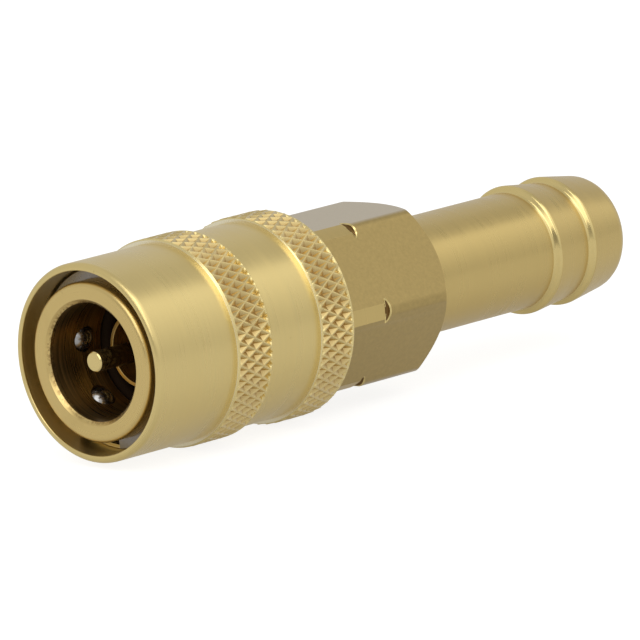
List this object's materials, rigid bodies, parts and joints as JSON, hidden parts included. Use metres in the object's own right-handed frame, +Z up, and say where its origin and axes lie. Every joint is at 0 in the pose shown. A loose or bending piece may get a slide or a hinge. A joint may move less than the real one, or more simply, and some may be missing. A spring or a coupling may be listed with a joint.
{
  "type": "pneumatic quick coupling",
  "caption": "Brass quick coupling for compressed air: ball-lock socket with a knurled sliding sleeve, spring-loaded shut-off valve, hexagon and beaded hose tail.",
  "frame": {"origin": "on the axis, at the front face of the socket body", "axes": "+X along the axis from the mouth to the hose tail, +Z up, two corners of the hexagon on +Y and -Y"},
  "size_m": [0.057, 0.0164, 0.0164],
  "materials": {
    "brass_bar": "turned, satin",
    "brass_socket": "turned",
    "brass_sleeve": "turned, satin, knurled bands",
    "brass_valve": "turned",
    "steel_ring": "spring steel strip",
    "spring_steel": "drawn wire",
    "ball_steel": "polished",
    "seal_rubber": "matt black"
  },
  "bodies": {
    "socket": {"rear_body": "brass_bar", "socket_body": "brass_socket", "retaining_ring": "steel_ring", "plug_seal": "seal_rubber", "body_seal": "seal_rubber", "valve_spring": "spring_steel"},
    "sleeve_carrier": {"sleeve_spring": "spring_steel"},
    "sleeve": {"locking_sleeve": "brass_sleeve"},
    "valve": {"valve_poppet": "brass_valve", "poppet_seal": "seal_rubber"},
    "ball_1": {"lock_ball_1": "ball_steel"},
    "ball_2": {"lock_ball_2": "ball_steel"},
    "ball_3": {"lock_ball_3": "ball_steel"},
    "ball_4": {"lock_ball_4": "ball_steel"},
    "ball_5": {"lock_ball_5": "ball_steel"},
    "ball_6": {"lock_ball_6": "ball_steel"}
  },
  "joints": [
    {"name": "sleeve_slide", "type": "slide", "parent": "socket", "child": "sleeve_carrier", "axis": [1, 0, 0], "range_m": [0, 0.0032], "stiffness_N_per_m": 370, "springref_m": -0.013, "deforming": ["sleeve_spring"]},
    {"name": "sleeve_turn", "type": "hinge", "parent": "sleeve_carrier", "child": "sleeve", "pos_m": [0, 0, 0], "axis": [1, 0, 0], "continuous": true},
    {"name": "valve_slide", "type": "slide", "parent": "socket", "child": "valve", "axis": [1, 0, 0], "range_m": [0, 0.003], "stiffness_N_per_m": 200, "springref_m": -0.0065, "deforming": ["valve_spring"]},
    {"name": "ball_1_slide", "type": "slide", "parent": "socket", "child": "ball_1", "axis": [0, 0.9898, 0.1426], "range_m": [0, 0.0005]},
    {"name": "ball_2_slide", "type": "slide", "parent": "socket", "child": "ball_2", "axis": [0, 0.3714, 0.9285], "range_m": [0, 0.0005]},
    {"name": "ball_3_slide", "type": "slide", "parent": "socket", "child": "ball_3", "axis": [0, -0.6184, 0.7859], "range_m": [0, 0.0005]},
    {"name": "ball_4_slide", "type": "slide", "parent": "socket", "child": "ball_4", "axis": [0, -0.9898, -0.1426], "range_m": [0, 0.0005]},
    {"name": "ball_5_slide", "type": "slide", "parent": "socket", "child": "ball_5", "axis": [0, -0.3714, -0.9285], "range_m": [0, 0.0005]},
    {"name": "ball_6_slide", "type": "slide", "parent": "socket", "child": "ball_6", "axis": [0, 0.6184, -0.7859], "range_m": [0, 0.0005]}
  ],
  "couplings": [
    {"joint": "ball_1_slide", "follows": "sleeve_slide", "ratio": 0.156},
    {"joint": "ball_2_slide", "follows": "sleeve_slide", "ratio": 0.156},
    {"joint": "ball_3_slide", "follows": "sleeve_slide", "ratio": 0.156},
    {"joint": "ball_4_slide", "follows": "sleeve_slide", "ratio": 0.156},
    {"joint": "ball_5_slide", "follows": "sleeve_slide", "ratio": 0.156},
    {"joint": "ball_6_slide", "follows": "sleeve_slide", "ratio": 0.156}
  ]
}
